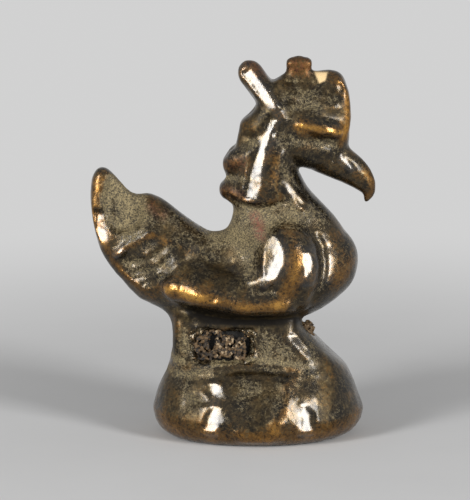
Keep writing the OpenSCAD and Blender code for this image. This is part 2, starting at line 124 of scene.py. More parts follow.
# Rolls of wax laid on both sides of the bird, as beads: x, y, z and radius.
WAX_ROLLS = {
    "plume_root": [
        (-1.0, -0.1, 47.8, 1.5), (0.6, -1.0, 45.7, 1.6), (1.8, -1.8, 43.9, 1.5),
        (2.7, -2.3, 42.4, 1.3)],
    "comb_rim": [
        (9.0, -0.8, 46.9, 0.85), (10.2, -0.9, 46.5, 0.95), (10.8, -0.9, 45.1, 1.0),
        (11.0, -0.9, 42.7, 1.0), (10.9, -1.0, 40.9, 1.0), (10.2, -1.3, 39.1, 0.9),
    ],
    "brow_line": [(2.6, -2.9, 41.5, 0.35), (4.9, -3.1, 41.5, 0.4)],
    "cape_fold": [(3.2, -1.1, 41.0, 1.9), (2.1, -1.4, 37.6, 2.5), (0.7, -1.4, 33.3, 3.0)],
    "upper_frill": [
        (-0.8, -0.6, 40.6, 1.75), (0.3, -1.1, 41.0, 2.1), (1.2, -1.3, 42.2, 2.0),
        (1.6, -0.9, 43.6, 1.9)],
    "nape": [(-1.3, -0.5, 39.6, 1.4), (-1.5, -0.6, 38.2, 1.5)],
    "middle_frill": [(-4.0, -0.5, 36.0, 0.8), (-2.5, -1.2, 36.6, 1.7), (-0.6, -1.8, 37.2, 2.0)],
    "lower_frill": [(-4.4, -0.5, 32.6, 0.8), (-2.8, -1.3, 32.2, 1.6), (-0.9, -1.9, 31.9, 1.9)],
    "breast_ridge": [(2.4, -2.2, 35.5, 0.8), (3.5, -2.7, 33.0, 0.9), (5.2, -3.0, 30.6, 0.8)],
    "lobe_corners": [(4.3, -0.4, 49.0, 0.85), (6.2, -0.4, 49.05, 0.8)],
    "comb_root": [(3.0, -0.9, 46.0, 1.3), (3.9, -1.3, 44.6, 1.6), (4.4, -1.6, 43.2, 1.5)],
    "comb_foot": [(4.0, -1.4, 43.4, 1.6), (6.5, -1.5, 43.4, 1.7), (9.4, -1.2, 43.4, 1.4)],
    "rim_back": [
        (-10.0, -4.4, 22.0, 1.3), (-7.5, -5.2, 22.0, 1.5), (-4.5, -5.9, 21.2, 1.4),
        (-2.0, -6.2, 20.2, 1.1)],
    "tail_rim": [
        (-20.0, -0.6, 34.6, 0.6), (-20.9, -0.8, 33.2, 0.7), (-21.2, -0.8, 31.1, 0.75),
        (-20.9, -0.8, 28.4, 0.75), (-20.2, -0.9, 25.7, 0.7),
    ],
    "tail_rib": [(-18.4, -1.6, 24.4, 0.75), (-16.8, -2.2, 25.6, 0.9), (-13.9, -2.6, 27.1, 1.0)],
    "tail_upright": [(-13.9, -2.1, 27.2, 1.0), (-13.2, -1.1, 29.3, 1.2), (-13.9, -0.3, 30.7, 1.0)],
    "tail_slope": [(-13.9, -2.2, 27.1, 1.1), (-11.6, -2.6, 26.2, 1.3), (-9.4, -2.8, 25.4, 1.2)],
    "stay_ridge": [(3.7, -4.4, 13.8, 0.9), (4.9, -4.6, 12.7, 0.9), (6.0, -4.9, 11.4, 0.9)],
    "lintel": [
        (-9.8, -3.7, 15.4, 1.0), (-4.5, -4.0, 15.2, 1.0), (0.5, -4.2, 15.2, 1.0),
        (4.0, -4.0, 15.6, 1.0)],
    "brow_body": [(5.8, -2.8, 41.5, 1.0), (7.8, -2.7, 41.1, 1.25), (9.4, -2.4, 40.6, 1.0)],
    "window_upper_front": [(-0.8, -4.3, 14.7, 0.9), (-1.1, -4.3, 14.2, 0.7)],
    "window_lower_front": [(-0.8, -4.3, 10.6, 0.8), (-1.1, -4.3, 11.0, 0.6)],
    "window_upper_back": [(-8.6, -4.3, 14.7, 0.9), (-8.2, -4.3, 14.2, 0.8)],
    "window_lower_back": [(-8.6, -4.3, 10.6, 0.8), (-8.2, -4.3, 11.0, 0.6)],
}

# The hollow of the flank, between the wing's rim and the back.
FLANK = [(-10.5, 21.0), (-2.0, 19.8), (0.0, 22.0), (0.0, 26.0), (-7.0, 27.0)]

# Where wax ran into the inside corners: an outline on the side, its soft edge and how long.
MELTED = {
    "neck_base": ([(-9, 29), (-3, 31), (6, 31), (6, 28), (1, 26), (-7, 25.5)], 2.0, 80),
    "stays": ([(-13, 9), (-13, 17.5), (10, 17.5), (12, 9)], 1.0, 200),
    "flank": (FLANK, 1.5, 60),
    "over_brow": ([(4.5, 41.6), (8.5, 41.2), (11.5, 40.0), (11.5, 44.2), (4.5, 43.8)], 0.6, 200),
}

# Where the wax was stroked smooth: an outline on the side, its soft edge and how long.
STROKED = {
    "stays": ([(-12.5, 10.9), (-12.5, 16.5), (8.0, 15.5), (10.0, 10.9)], 1.0, 40),
    "flank": (FLANK, 1.5, 150),
    "rear_stay": ([(-13.5, 10.2), (-13.5, 17.0), (-9.0, 17.0), (-9.0, 10.2)], 1.0, 100),
}

# Facets burnished flat: the crisp line that each falls away from and the rest of its
# outline with that outline's softness; how it slopes along the bird and upwards, or None
# to follow the skin; how it flattens; how far it reaches and how far it may build up.
FACETS = {
    "wing_scoop": (
        [(2.4, 27.8), (3.3, 26.0), (3.4, 24.4), (2.6, 22.2), (1.0, 20.7)],
        [(-1.0, 20.8), (-4.0, 22.5), (-4.0, 26.0), (-1.0, 28.6)],
        0.3, 0.53, -0.26, 0.048, 2.2, 0.5),
    "cape_strip": (
        [(2.8, 42.3), (1.0, 38.4), (0.5, 35.2), (-0.1, 31.9)],
        [(-2.0, 31.9), (-1.3, 35.6), (-0.3, 38.5), (1.3, 42.6)], 0.3, 0.48, None, 0.0, 2.5, 0.6),
    "plume": (
        [(-1.0, 48.7), (1.0, 46.3), (3.2, 43.6)],
        [(1.7, 43.2), (-2.4, 47.9)], 0.3, 0.46, -0.18, 0.0, 3.0, 0.3),
    "upper_hackle": (
        [(1.2, 42.5), (-0.3, 38.7)],
        [(-2.2, 38.8), (-2.4, 40.6), (-1.4, 42.2), (0.2, 43.8)], 0.8, 0.12, None, 0.0, 5.0, 0.0),
    "middle_hackle": (
        [(-0.4, 38.2), (-1.3, 35.8)],
        [(-3.8, 35.2), (-4.2, 36.3), (-2.2, 38.0)], 0.8, 0.15, None, 0.0, 5.0, 0.0),
    "lower_hackle": (
        [(-1.6, 34.2), (-2.1, 31.8)],
        [(-3.4, 31.2), (-4.6, 32.5), (-4.0, 33.8)], 0.8, 0.15, None, 0.0, 5.0, 0.0),
    "tail_rim": (
        [(-19.7, 29.8), (-19.3, 25.4)],
        [(-20.6, 25.2), (-21.3, 27.0), (-21.5, 30.0)], 0.35, 0.42, None, 0.0, 2.0, 0.3),
    "rim_spot_1": (
        [(-10.3, 21.3), (-10.4, 20.2)], [(-11.4, 20.2), (-11.5, 21.2)],
        0.5, 0.45, -0.28, 0.0, 3.0, 0.2),
    "rim_spot_2": (
        [(-5.1, 19.7), (-4.8, 18.8)], [(-6.0, 18.8), (-6.5, 19.8)],
        0.5, 0.45, -0.28, 0.0, 3.0, 0.2),
    "pedestal_left_low": (
        [(-4.6, 5.4), (-5.2, 1.9)], [(-7.4, 1.9), (-6.9, 4.1), (-5.9, 5.6)],
        0.8, 0.43, -0.25, 0.0, 5.0, 0.5),
    "pedestal_left_high": (
        [(-4.2, 7.9), (-4.8, 6.7)], [(-6.2, 6.5), (-7.0, 7.3), (-6.4, 8.2), (-5.2, 8.4)],
        1.0, 0.4, -0.36, 0.0, 5.0, 0.4),
    "pedestal_right_low": (
        [(4.2, 5.2), (5.0, 1.9)], [(7.2, 1.8), (7.1, 4.6), (5.6, 5.8)],
        0.8, -0.43, -0.25, 0.0, 5.0, 0.5),
    "stay_ridge": (
        [(3.4, 14.0), (4.7, 12.6), (5.9, 11.2)], [(7.0, 11.6), (4.6, 14.4)],
        0.4, -0.45, None, 0.0, 3.0, 0.3),
    "breast_ridge": (
        [(3.0, 33.6), (5.4, 30.8)], [(6.3, 31.1), (4.0, 34.0)], 0.3, -0.45, -0.28, 0.0, 3.0, 0.3),
    "brow_spot": (
        [(8.5, 41.6), (8.7, 40.4)], [(10.1, 40.1), (10.0, 41.3)], 0.4, -0.45, -0.28, 0.0, 3.0, 0.3),
    "comb_spot": (
        [(9.8, 46.6), (10.0, 45.5)], [(10.9, 45.4), (10.8, 46.6)],
        0.3, -0.45, -0.28, 0.0, 3.0, 0.2),
    "wing_right": (
        [(5.5, 25.6), (5.6, 23.5), (5.2, 21.4)],
        [(7.0, 21.2), (7.8, 23.5), (7.4, 25.8)], 0.4, -0.45, -0.25, 0.0, 3.0, 0.3),
    "rib_spot": (
        [(-17.4, 25.0), (-17.5, 24.0)], [(-18.8, 23.6), (-18.9, 24.7)],
        0.6, 0.45, -0.28, 0.0, 3.0, 0.3),
    "beak_streak": (
        [(10.1, 36.9), (11.9, 35.2)], [(12.6, 35.6), (10.9, 37.3)],
        0.3, -0.45, -0.28, 0.0, 3.0, 0.3),
}

# Hollow panels: outline, soft edge and the distance left to the middle plane.
THINNED = {
    "tail_panel": (
        [(-19.3, 35.0), (-15.3, 32.0), (-15.2, 29.4), (-15.6, 28.2), (-17.0, 27.3), (-18.8, 27.2),
         (-19.7, 28.2), (-20.1, 30.0), (-20.1, 32.0)], 0.8, 0.9),
    "crest_lobe": ([(3.4, 46.6), (3.4, 50.4), (7.0, 50.4), (7.0, 46.6)], 0.6, 1.15),
}

# Presses of a thumb towards the middle plane: path, width and depth.
PRESSED = {
    "dish": ([(-8.0, 23.6), (-5.0, 23.2)], 2.4, 0.4),
    "under_rim": ([(-11.0, 17.0), (-4.0, 16.2), (5.0, 16.4)], 1.6, 0.4),
    "eye_hollow": ([(4.5, 39.6), (9.5, 38.9)], 1.1, 0.35),
    "pedestal_front": ([(0.0, 9.0), (0.0, 6.5)], 5.0, 0.5),
}

# Lines drawn with a tool: path, width and height, less than none for a groove.
TOOLED = {
    "wing_front": ([(7.6, 27.0), (8.3, 25.6), (8.5, 23.3), (8.1, 21.0), (6.8, 19.0)], 0.8, -0.2),
    "feather_1": ([(-17.4, 22.9), (-15.6, 23.3), (-13.8, 24.1), (-12.4, 25.3)], 0.8, -0.18),
    "feather_2": ([(-16.2, 21.7), (-14.4, 22.2), (-12.8, 23.0), (-11.8, 24.0)], 0.8, -0.2),
    "feather_3": ([(-15.0, 20.3), (-13.6, 20.8), (-12.6, 21.7)], 0.8, -0.18),
    "comb_ridge": ([(3.6, 44.6), (5.2, 45.1), (7.0, 45.2), (8.4, 45.6)], 1.0, 0.22),
    "comb_groove": ([(4.2, 43.8), (5.8, 44.2), (7.6, 44.2), (9.6, 44.7)], 1.0, -0.15),
    "beak_root": ([(10.0, 38.4), (9.8, 36.6)], 0.7, -0.2),
    "pedestal_prow": ([(4.1, 9.4), (3.7, 6.3), (2.2, 3.3)], 1.6, 0.3),
    "pedestal_upper_crease": ([(-11.5, 8.0), (-9.0, 8.9), (-6.0, 9.0), (-2.4, 9.7)], 1.2, -0.1),
    "foot_front": ([(-2.5, 1.9), (0.0, 1.7), (2.5, 1.9)], 1.5, 0.3),
    "pedestal_lower_crease": ([(-8.5, 5.9), (-4.0, 6.3), (0.0, 7.2)], 0.9, -0.18),
    "ledge_crease": ([(-5.0, 9.6), (0.0, 9.9), (4.5, 9.5)], 0.8, -0.2),
    "pedestal_dent": ([(-9.2, 5.6), (-7.6, 6.2)], 1.2, -0.15),
    "pedestal_fold": ([(-3.0, 8.6), (-1.0, 8.6), (3.4, 8.0)], 1.0, 0.15),
    "cape_edge": ([(-4.1, 31.9), (-2.2, 30.8), (-0.4, 30.3), (1.6, 30.5), (3.0, 31.2)], 0.7, -0.3),
}

# Where hands rubbed the skin back to gold: path on the side, width and strength, less than
# none where the skin is painted black as shade.
RUBBED = {
    "tail_rim": (
        [(-20.2, 34.8), (-21.0, 33.2), (-21.4, 31.0), (-21.1, 28.4), (-20.3, 25.5)], 1.3, 1.0),
    "tail_edge": ([(-20.0, 25.0), (-18.0, 22.0), (-15.5, 19.6), (-13.0, 18.0)], 0.9, 0.7),
    "tail_rib": ([(-18.4, 24.4), (-13.9, 27.2)], 1.0, 0.6),
    "tail_upright": ([(-13.0, 29.3), (-13.6, 30.9)], 1.0, 0.3),
    "tail_slope": ([(-13.9, 27.0), (-11.6, 26.2), (-9.0, 25.2), (-7.3, 24.1)], 1.2, 0.45),
    "wing_rim": ([(-11.4, 20.0), (-8.5, 19.6), (-5.0, 18.9), (-2.0, 18.3), (2.0, 18.0)], 2.5, 1.1),
    "wing_crest": ([(3.6, 28.4), (4.9, 25.5), (4.6, 22.0), (2.8, 19.0)], 1.9, 1.2),
    "breast": ([(10.5, 27.0), (11.5, 23.5), (10.0, 20.0)], 2.2, 0.7),
    "brow": ([(5.6, 41.3), (9.7, 40.4)], 1.8, 1.6),
    "comb_rim": (
        [(9.2, 47.6), (10.6, 46.8), (11.4, 45.2), (11.7, 42.7), (11.5, 40.6), (10.6, 39.0)],
        1.0, 0.85),
    "crest_lobe": ([(4.6, 48.5), (6.2, 48.6)], 1.6, 0.5),
    "plume_tip": ([(-1.9, 48.9), (0.0, 48.6)], 1.4, 0.75),
    "beak": ([(9.5, 34.6), (13.3, 32.0), (14.6, 31.8), (14.9, 33.8), (13.6, 36.0)], 1.0, 0.6),
    "middle_hackle": ([(-4.4, 35.6), (-2.8, 36.2)], 1.2, 0.5),
    "cape_lip": ([(-4.8, 32.4), (-2.8, 32.0), (0.5, 30.8), (2.8, 31.9)], 1.2, 0.5),
    "foot": (
        [(-13.5, 3.5), (-12.0, 1.6), (-6.0, 1.3), (0.0, 1.2), (6.0, 1.3), (12.0, 1.6),
         (13.6, 3.5)], 2.6, 0.75),
    "prow": ([(4.4, 9.8), (3.7, 6.3), (2.0, 3.0)], 1.5, 1.0),
    "shoulders": ([(-11.5, 9.3), (-8.0, 9.8)], 1.0, 0.4),
    "flank": ([(9.0, 9.5), (12.0, 6.0)], 1.5, 0.4),
    # Painted shade: the underside of the belly, over the window, is painted black.
    "belly": ([(-9.0, 16.2), (5.0, 15.8)], 1.5, -0.8),
    "cape_right": ([(2.0, 38.0), (2.4, 33.0)], 1.3, 0.5),
    "wing_tip": ([(-11.6, 20.2), (-8.0, 19.5)], 2.2, 0.9),
    "wing_tip_top": ([(-11.2, 21.8), (-8.5, 21.6), (-6.0, 21.0)], 1.3, 0.55),
    "brow_end": ([(10.2, 41.2), (11.0, 40.4)], 1.2, 0.8),
}

# Where dry earth stays in the skin: path on the side, width and strength, less than none
# where the skin is polished.
DUSTED = {
    "neck_base": ([(-3.0, 29.5), (0.5, 29.0), (4.0, 29.8)], 2.6, 0.9),
    "dish": ([(-5.5, 27.0), (-2.5, 26.0), (0.5, 26.5)], 2.2, 0.7),
    "tail_panel": ([(-18.2, 32.5), (-16.5, 30.0), (-17.0, 28.2)], 2.6, 1.2),
    "tail_inner_rim": ([(-19.4, 34.0), (-20.0, 31.0), (-19.7, 28.6)], 0.9, 0.8),
    "tail_feathers": ([(-16.5, 22.5), (-13.5, 23.5)], 2.0, 0.45),
    "back": ([(-12.5, 29.0), (-8.5, 27.5), (-5.5, 26.5)], 1.8, 0.4),
    "upper_gap": ([(-2.0, 38.6), (-0.4, 39.0)], 0.7, 0.7),
    "lower_gap": ([(-4.2, 34.2), (-2.2, 34.4)], 0.7, 0.9),
    "cheek": ([(3.5, 39.5), (7.0, 38.8), (10.0, 38.6)], 1.2, 0.35),
    "comb_upper": ([(4.0, 45.3), (7.0, 45.0)], 1.0, 0.55),
    "comb_lower": ([(4.5, 43.7), (9.0, 44.0)], 0.7, 0.5),
    "throat": ([(3.2, 36.0), (4.5, 32.5)], 1.0, 0.4),
    "breast_front": ([(4.5, 31.5), (8.5, 28.5)], 1.2, 0.4),
    "rear_stay": ([(-9.8, 14.6), (-9.5, 12.2)], 0.9, 0.9),
    "rear_stay_foot": ([(-11.0, 10.9), (-10.0, 10.7)], 0.9, 1.0),
    "front_stay": ([(0.5, 15.0), (1.5, 12.0), (6.0, 11.5)], 2.2, 0.55),
    "crest_lobe": ([(4.2, 48.6), (6.2, 48.6)], 1.8, 0.3),
    "pedestal_corner": ([(-12.0, 9.0), (-10.0, 10.4)], 1.2, 0.5),
    # Painted shade: no earth under the belly, so its painted black shows.
    "belly": ([(-9.0, 16.4), (4.0, 16.0)], 1.5, -0.8),
    "ledge": ([(-6.0, 10.4), (-1.4, 10.9), (5.4, 10.4)], 0.5, 1.0),
    "fold_left": ([(-11.3, 8.8), (-6.5, 9.4)], 0.9, 0.6),
    "front_mottle": ([(-2.0, 7.4), (3.0, 7.0)], 1.6, 0.4),
    "left_face": ([(-9.5, 6.5), (-8.4, 4.0)], 1.8, 0.45),
    "tail_panel_right": ([(-15.2, 31.5), (-15.2, 28.8)], 1.0, 0.6),
    "cape_strip": ([(2.2, 42.0), (0.2, 37.0), (-1.0, 31.9)], 1.2, -0.7),
    "wing_scoop": ([(2.4, 27.0), (2.6, 24.5), (1.4, 21.8)], 1.8, -0.7),
    "plume": ([(-1.6, 48.2), (2.4, 43.6)], 1.2, -0.7),
    "pedestal_spots": ([(-5.6, 7.6), (-6.1, 2.0)], 1.2, -0.6),
    "pedestal_spot_right": ([(5.8, 5.2), (6.1, 2.0)], 1.4, -0.6),
    "stay_ridge": ([(4.2, 13.6), (6.2, 11.6)], 0.9, -1.0),
    "breast_ridge": ([(3.6, 33.3), (5.8, 31.0)], 0.9, -0.8),
    "scoop_left": ([(-2.8, 27.0), (-1.8, 24.8), (-1.0, 22.8)], 1.5, 0.6),
    "wing_right": ([(6.4, 25.4), (6.7, 23.5), (6.2, 21.5)], 1.4, -0.6),
    "breast_streak": ([(9.2, 25.7), (9.4, 23.6), (9.1, 21.6)], 0.8, -0.6),
    "rib_spot": ([(-18.5, 24.2), (-17.9, 24.5)], 0.8, -0.6),
    "tail_rim": ([(-20.7, 29.2), (-20.2, 25.8)], 0.9, -0.6),
    "beak_streak": ([(10.6, 36.7), (12.1, 35.5)], 0.8, -0.7),
}

# Where the skin stayed dull: path on the side, width and strength.
DULLED = {
    "crest_lobe": ([(4.0, 49.2), (6.6, 49.2), (6.6, 47.4), (4.0, 47.4)], 1.6, 1.0),
    "comb_root": ([(2.8, 46.4), (4.3, 43.0)], 1.3, 1.0),
    "comb_side": ([(4.5, 45.5), (9.0, 45.3)], 1.3, 0.8),
    "over_brow": ([(5.5, 43.5), (10.6, 42.8)], 0.9, 1.0),
    "upper_hackle": ([(0.6, 43.0), (-1.6, 40.6), (-1.8, 39.2)], 1.6, 0.9),
    "middle_hackle": ([(-3.6, 36.0), (-1.8, 36.8)], 1.6, 0.8),
    "lower_hackle": ([(-4.0, 32.6), (-2.6, 32.4)], 1.4, 0.8),
    "cape_right": ([(2.2, 37.0), (2.6, 33.0)], 1.4, 0.7),
    "tail_slope": ([(-13.4, 29.5), (-11.5, 26.6), (-8.0, 25.2), (-5.0, 24.0)], 2.2, 1.0),
    "flank": ([(-9.5, 22.6), (-6.0, 22.0), (-2.5, 20.8)], 1.5, 1.0),
    "dish": ([(-5.0, 26.5), (-1.5, 26.5)], 2.0, 0.8),
    "belly": ([(-11.0, 16.5), (6.0, 15.8)], 1.6, 0.8),
    "rear_stay": ([(-11.0, 15.5), (-10.6, 11.5)], 1.6, 0.9),
    "pedestal_front": ([(-2.5, 8.0), (1.5, 7.0), (0.0, 3.5)], 2.6, 0.7),
    "pedestal_back": ([(-12.0, 8.5), (-11.0, 4.0)], 2.2, 0.7),
    "pedestal_left": ([(-8.4, 10.2), (-8.5, 3.6)], 1.5, 1.0),
    "pedestal_right": ([(8.7, 9.5), (8.9, 3.0)], 1.3, 1.0),
    "tail_upright": ([(-14.6, 31.0), (-14.4, 28.4)], 1.3, 1.0),
    "beak_tip": ([(13.5, 36.0), (14.8, 33.8)], 0.9, 0.9),
    "comb_rim": ([(11.4, 44.2), (11.4, 43.4)], 0.8, 0.9),
    "comb_rim_foot": ([(11.4, 41.8), (10.9, 39.8)], 0.9, 0.9),
    "feathers": ([(-13.4, 24.8), (-11.8, 22.8)], 1.2, 0.7),
}

# Where the skin is red: path on the side, width and strength.
RUSTED = {
    "neck_base": ([(-0.5, 29.4), (0.0, 28.4), (0.2, 27.4)], 1.2, 1.0),
    "crest_lobe": ([(4.2, 48.9), (6.3, 48.8)], 2.0, 0.45),
    "plume_tip": ([(-1.2, 49.4), (0.8, 48.0)], 1.2, 0.4),
    "middle_hackle": ([(-4.0, 36.0), (-2.0, 36.4)], 1.6, 0.3),
    "lower_hackle": ([(-4.4, 32.6), (-2.6, 32.2)], 1.4, 0.3),
    "hump": ([(-14.0, 30.6), (-12.6, 29.6)], 1.4, 0.3),
}

# Marks of earth and dullness reach this much further than their width.
MARK_SPREAD = 1.3
# Rounds of smoothing against which fine and broad forms stand out.
FINE_TURNS = 8
BROAD_TURNS = 60
# What a form's own relief adds, as how far it stands out for the full share, and that share.
GOLD_ON_FORMS = (0.4, 0.35)
GOLD_ON_EDGES = (0.06, 0.25)
EARTH_IN_HOLLOWS = (0.3, 0.2)
EARTH_IN_PITS = (0.04, 0.2)
# Hollows deeper than this go black: tarnish and painted shade.
DEEP_DARK_START = 0.105
DEEP_TARNISH_AND_SHADE = (0.35, 0.8)
EARTH_ALL_OVER = 0.15
# Faces that look up are less rubbed; faces that look down, above this height, are darkened as
# painted shade.
UPWARD_GAIN = 2.0
UNDERSIDE_SHADE_GAIN = 1.5
UNDERSIDE_SHADE_FROM = 14.0
UNRUBBED_AND_SHADED = 0.6
GOLD_LIMITS = (-1.0, 2.2)
DUST_LIMITS = (-0.5, 1.5)

# The fresh break on the comb, on the near side alone.
NICK = [(7.2, 48.0), (8.9, 48.0), (8.6, 47.0), (7.8, 46.6)]
NICK_EDGE = 0.3
NICK_BACK = 0.4

# The ragged edge of the window, in the side faces of the stays.
WINDOW_EDGE = [(-8.3, 10.8), (-8.3, 14.4), (-1.1, 14.4), (-1.1, 10.8), (-8.3, 10.8)]
STAY_FACE = 4.8
RAGGED_WIDTH = 0.9
RAGGED_REACH = 1.5
RAGGED_HEIGHT = 0.45
RAGGED_LOSS = 0.1
# Size of the bumps, seed and octaves, here and for the core.
RAGGED_WAVE = (0.9, 3, 3)

# The core's open face in the window, and the crumbs that stand in it.
CORE_VOXEL = 0.1
CORE_FACE_X = (-8.9, -0.9)
CORE_FACE_Z = (10.7, 14.6)
CORE_FACE_Y = (3.9, 4.7)
CORE_SUNK = 0.9
# Crumbs behind this place are darker.
CORE_SHADED = -6.0
SHADED_CRUMB = 0.75
# From here forward the core stands loose, in front of the front stay.
LOOSE_FROM = 4.0
LOOSE_REACH = ((6.3, 7.2), (-0.9, 0.0), (12.8, 14.7))
LOOSE_CRUMBS = 50
CRUMBS = 700
CRUMB_SIZE = (0.12, 0.28)
CRUMB_DEPTH = (0.5, 1.0)
CRUMB_HEIGHT = (0.6, 1.3)
CRUMB_FINENESS = 1
CRUMB_SEED = 7
# A crumb's shade reaches this many of its sizes from its middle.
CRUMB_REACH = 1.15
CORE_OUTLINE = [(-9.3, 10.3), (-9.3, 14.9), (-0.5, 14.9), (-0.5, 10.3)]
CORE_EDGE = 0.4
# How soon the core's faces sink as they turn to the side.
CORE_FACING = 3.0
CORE_TURNED = 1.5
CORE_TURNS = 20
CORE_ROUGH = 0.06
CORE_WAVE = (0.5, 6, 3)
LOOSE_ROUGH = 0.3
LOOSE_WAVE = (0.6, 8, 3)
# The shade of clay outside the window.
PLAIN_SHADE = 0.6
PLAIN_MOTTLE = 0.35
PLAIN_WAVE = (0.4, 9, 2)
# Crevices that no crumb fills, left near black as painted shade: path and width.
CREVICES = {
    "left": ([(-6.1, 12.4), (-5.9, 13.9)], 0.35),
    "top": ([(-4.4, 14.4), (-2.3, 14.1)], 0.5),
    "right": ([(-1.3, 14.0), (-1.2, 10.9)], 0.4),
    "bottom": ([(-5.9, 10.7), (-3.6, 10.6)], 0.35),
}

# Grain of the bronze's skin: size, detail, roughness and twist.
BLOTCH = (2.6, 4.0, 0.6)
SPECK = (0.35, 4.0, 0.65)
FLECK = (0.55, 3.0, 0.75, 0.6)
PITS = (0.16, 2.0)

# Colours of the bronze, from tarnish to rubbed gold, and of what lies on it.
# The black serves for tarnish and dark flecks, and also as painted shade under the belly and in
# deep hollows.
BLACK_TARNISH_AND_SHADE = (0.010, 0.008, 0.006)
DARK_BROWN = (0.017, 0.014, 0.010)
OLIVE_BROWN = (0.064, 0.045, 0.021)
WARM_BROWN = (0.130, 0.066, 0.018)
OLD_GOLD = (0.30, 0.148, 0.030)
BRIGHT_GOLD = (0.52, 0.27, 0.055)
TAN = (0.170, 0.125, 0.058)
DARK_EARTH = (0.036, 0.028, 0.015)
PALE_EARTH = (0.280, 0.218, 0.108)
BROWN_EARTH = (0.030, 0.023, 0.014)
RED_PATCH = (0.17, 0.060, 0.036)
FRESH_BREAK = (0.80, 0.58, 0.30)

# How marks and grain turn into shares: from, to, and the shares at these ends if not 0 and 1.
GOLD_BLOTCH = (0.3, 0.7, -0.25, 0.25)
GOLD_SPECK = (0.35, 0.65, -0.25, 0.25)
DUST_BLOTCH = (0.3, 0.7, 0.25, -0.25)
DUST_SPECK = (0.4, 0.6, -0.3, 0.3)
DUST_SHOWS = (0.2, 1.4)
BROWN_BLOTCH = (0.35, 0.65)
GOLD_STEPS = [((0.15, 0.8), WARM_BROWN), ((0.7, 1.6), OLD_GOLD), ((1.3, 2.2), BRIGHT_GOLD)]
DARK_FLECK = (0.52, 0.66, 0.0, 0.8)
LIGHT_FLECK = (0.46, 0.32, 0.0, 0.55)
# Painted shade: where the gold mark falls below none the skin turns black.
TARNISH_AND_SHADE_SHOWS = (-0.6, -0.1, 1.0, 0.0)
EARTH_GRAIN = (0.35, 0.65)
EARTH_FLECK = (0.55, 0.7, 0.0, 0.6)
RUST_SPECK = (0.35, 0.6)

# Metal, roughness, polish and relief of the bronze, in the same way.
DUST_METAL = (0.0, 1.0, 0.85, 0.05)
BREAK_METAL = (0.0, 1.0, 1.0, 0.3)
SPECK_ROUGH = (0.3, 0.7, 0.2, 0.3)
DUST_ROUGH = (0.0, 1.0, 0.0, 0.5)
DULL_ROUGH = (0.0, 1.0, 0.0, 0.22)
DUST_COAT = (0.0, 0.6, 1.0, 0.0)
DULL_COAT = (0.0, 0.8, 1.0, 0.0)
POLISHED_COAT = (-0.4, 0.0, 1.0, 0.35)
COAT_ROUGH = 0.15
SPECK_RELIEF = (0.0, 1.0, 0.4, 1.0)
PIT_RELIEF = (0.0, 1.0, 0.2, 0.5)
BRONZE_RELIEF = 0.05

# The clay: its colours by the shade of the crumb, near black painted shade in its gaps and hollows,
# its grain and its relief.
CLAY_GAP_SHADE = (0.004, 0.003, 0.002)
CLAY_DARK = (0.030, 0.019, 0.010)
CLAY_BROWN = (0.115, 0.068, 0.028)
CLAY_GRIT = (0.34, 0.25, 0.15)
CLAY_SPOT = (0.02, 0.013, 0.008)
CLAY_STEPS = [((0.0, 0.15), CLAY_DARK), ((0.3, 0.4), CLAY_BROWN), ((0.76, 0.82), CLAY_GRIT)]
CLAY_GRAIN = (0.3, 3.0, 0.6)
CLAY_SPOTS = (0.55, 0.7, 0.0, 0.6)
CLAY_HOLLOW_SHADE = (0.02, 0.14)
CLAY_ROUGH = 0.75
CLAY_RELIEF = 0.1

# The bronze pieces in the order in which they are cut from the skin.
BRONZE_NODES = [
    "crest_lobe", "rear_plume", "comb", "beak", "right_brow", "left_brow", "head",
    "upper_hackle", "middle_hackle", "lower_hackle", "hackle_cape", "neck",
    "right_wing", "left_wing", "tail", "rear_stay", "front_stay", "pedestal", "body",
]


def put_in_scene(name, data):
    """A new object for a mesh, lamp or camera."""
    thing = bpy.data.objects.new(name, data)
    bpy.context.scene.collection.objects.link(thing)
    return thing


def aim(thing, way):
    """Points a lamp or the camera along a direction."""
    thing.rotation_mode = "QUATERNION"
    thing.rotation_quaternion = way.to_track_quat("-Z", "Y")


def set_camera():
    back = Vector((0.0, -math.cos(CAMERA_ABOVE), math.sin(CAMERA_ABOVE)))
    data = bpy.data.cameras.new("camera")
    data.sensor_fit = "HORIZONTAL"
    data.sensor_width = SENSOR
    data.lens = LENS
    data.clip_start, data.clip_end = CAMERA_RANGE
    camera = put_in_scene("camera", data)
    camera.location = LOOKS_AT + back * CAMERA_AWAY
    aim(camera, -back)
    bpy.context.scene.camera = camera


def mesh_of(bm, name):
    """The mesh of a finished bmesh."""
    mesh = bpy.data.meshes.new(name)
    bm.to_mesh(mesh)
    bm.free()
    return mesh


def edge_ends(mesh):
    """The two vertices of each edge, as two rows."""
    ends = np.empty(len(mesh.edges) * 2, dtype=np.int64)
    mesh.edges.foreach_get("vertices", ends)
    return ends.reshape(-1, 2).T


def merged_copy(names, name):
    """One mesh, in millimetres, of copies of some nodes with their corners merged."""
    bm = bmesh.new()
    for node in names:
        bm.from_mesh(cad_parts[node].data)
    bmesh.ops.scale(bm, vec=(1.0 / MM,) * 3, verts=bm.verts)
    bmesh.ops.remove_doubles(bm, verts=bm.verts, dist=SAME_CORNER)
    return mesh_of(bm, name)


def worked(mesh, *steps):
    """The mesh that a chain of modifiers leaves."""
    bench = put_in_scene("bench", mesh)
    for kind, settings in steps:
        step = bench.modifiers.new(kind.lower(), kind)
        for key, value in settings.items():
            setattr(step, key, value)
    graph = bpy.context.evaluated_depsgraph_get()
    result = bpy.data.meshes.new_from_object(bench.evaluated_get(graph))
    bpy.data.objects.remove(bench)
    return result


def voxels(size):
    return ("REMESH", {"mode": "VOXEL", "voxel_size": size, "adaptivity": 0.0})


def swell(amount):
    return ("DISPLACE", {"strength": amount, "mid_level": 0.0, "direction": "NORMAL"})


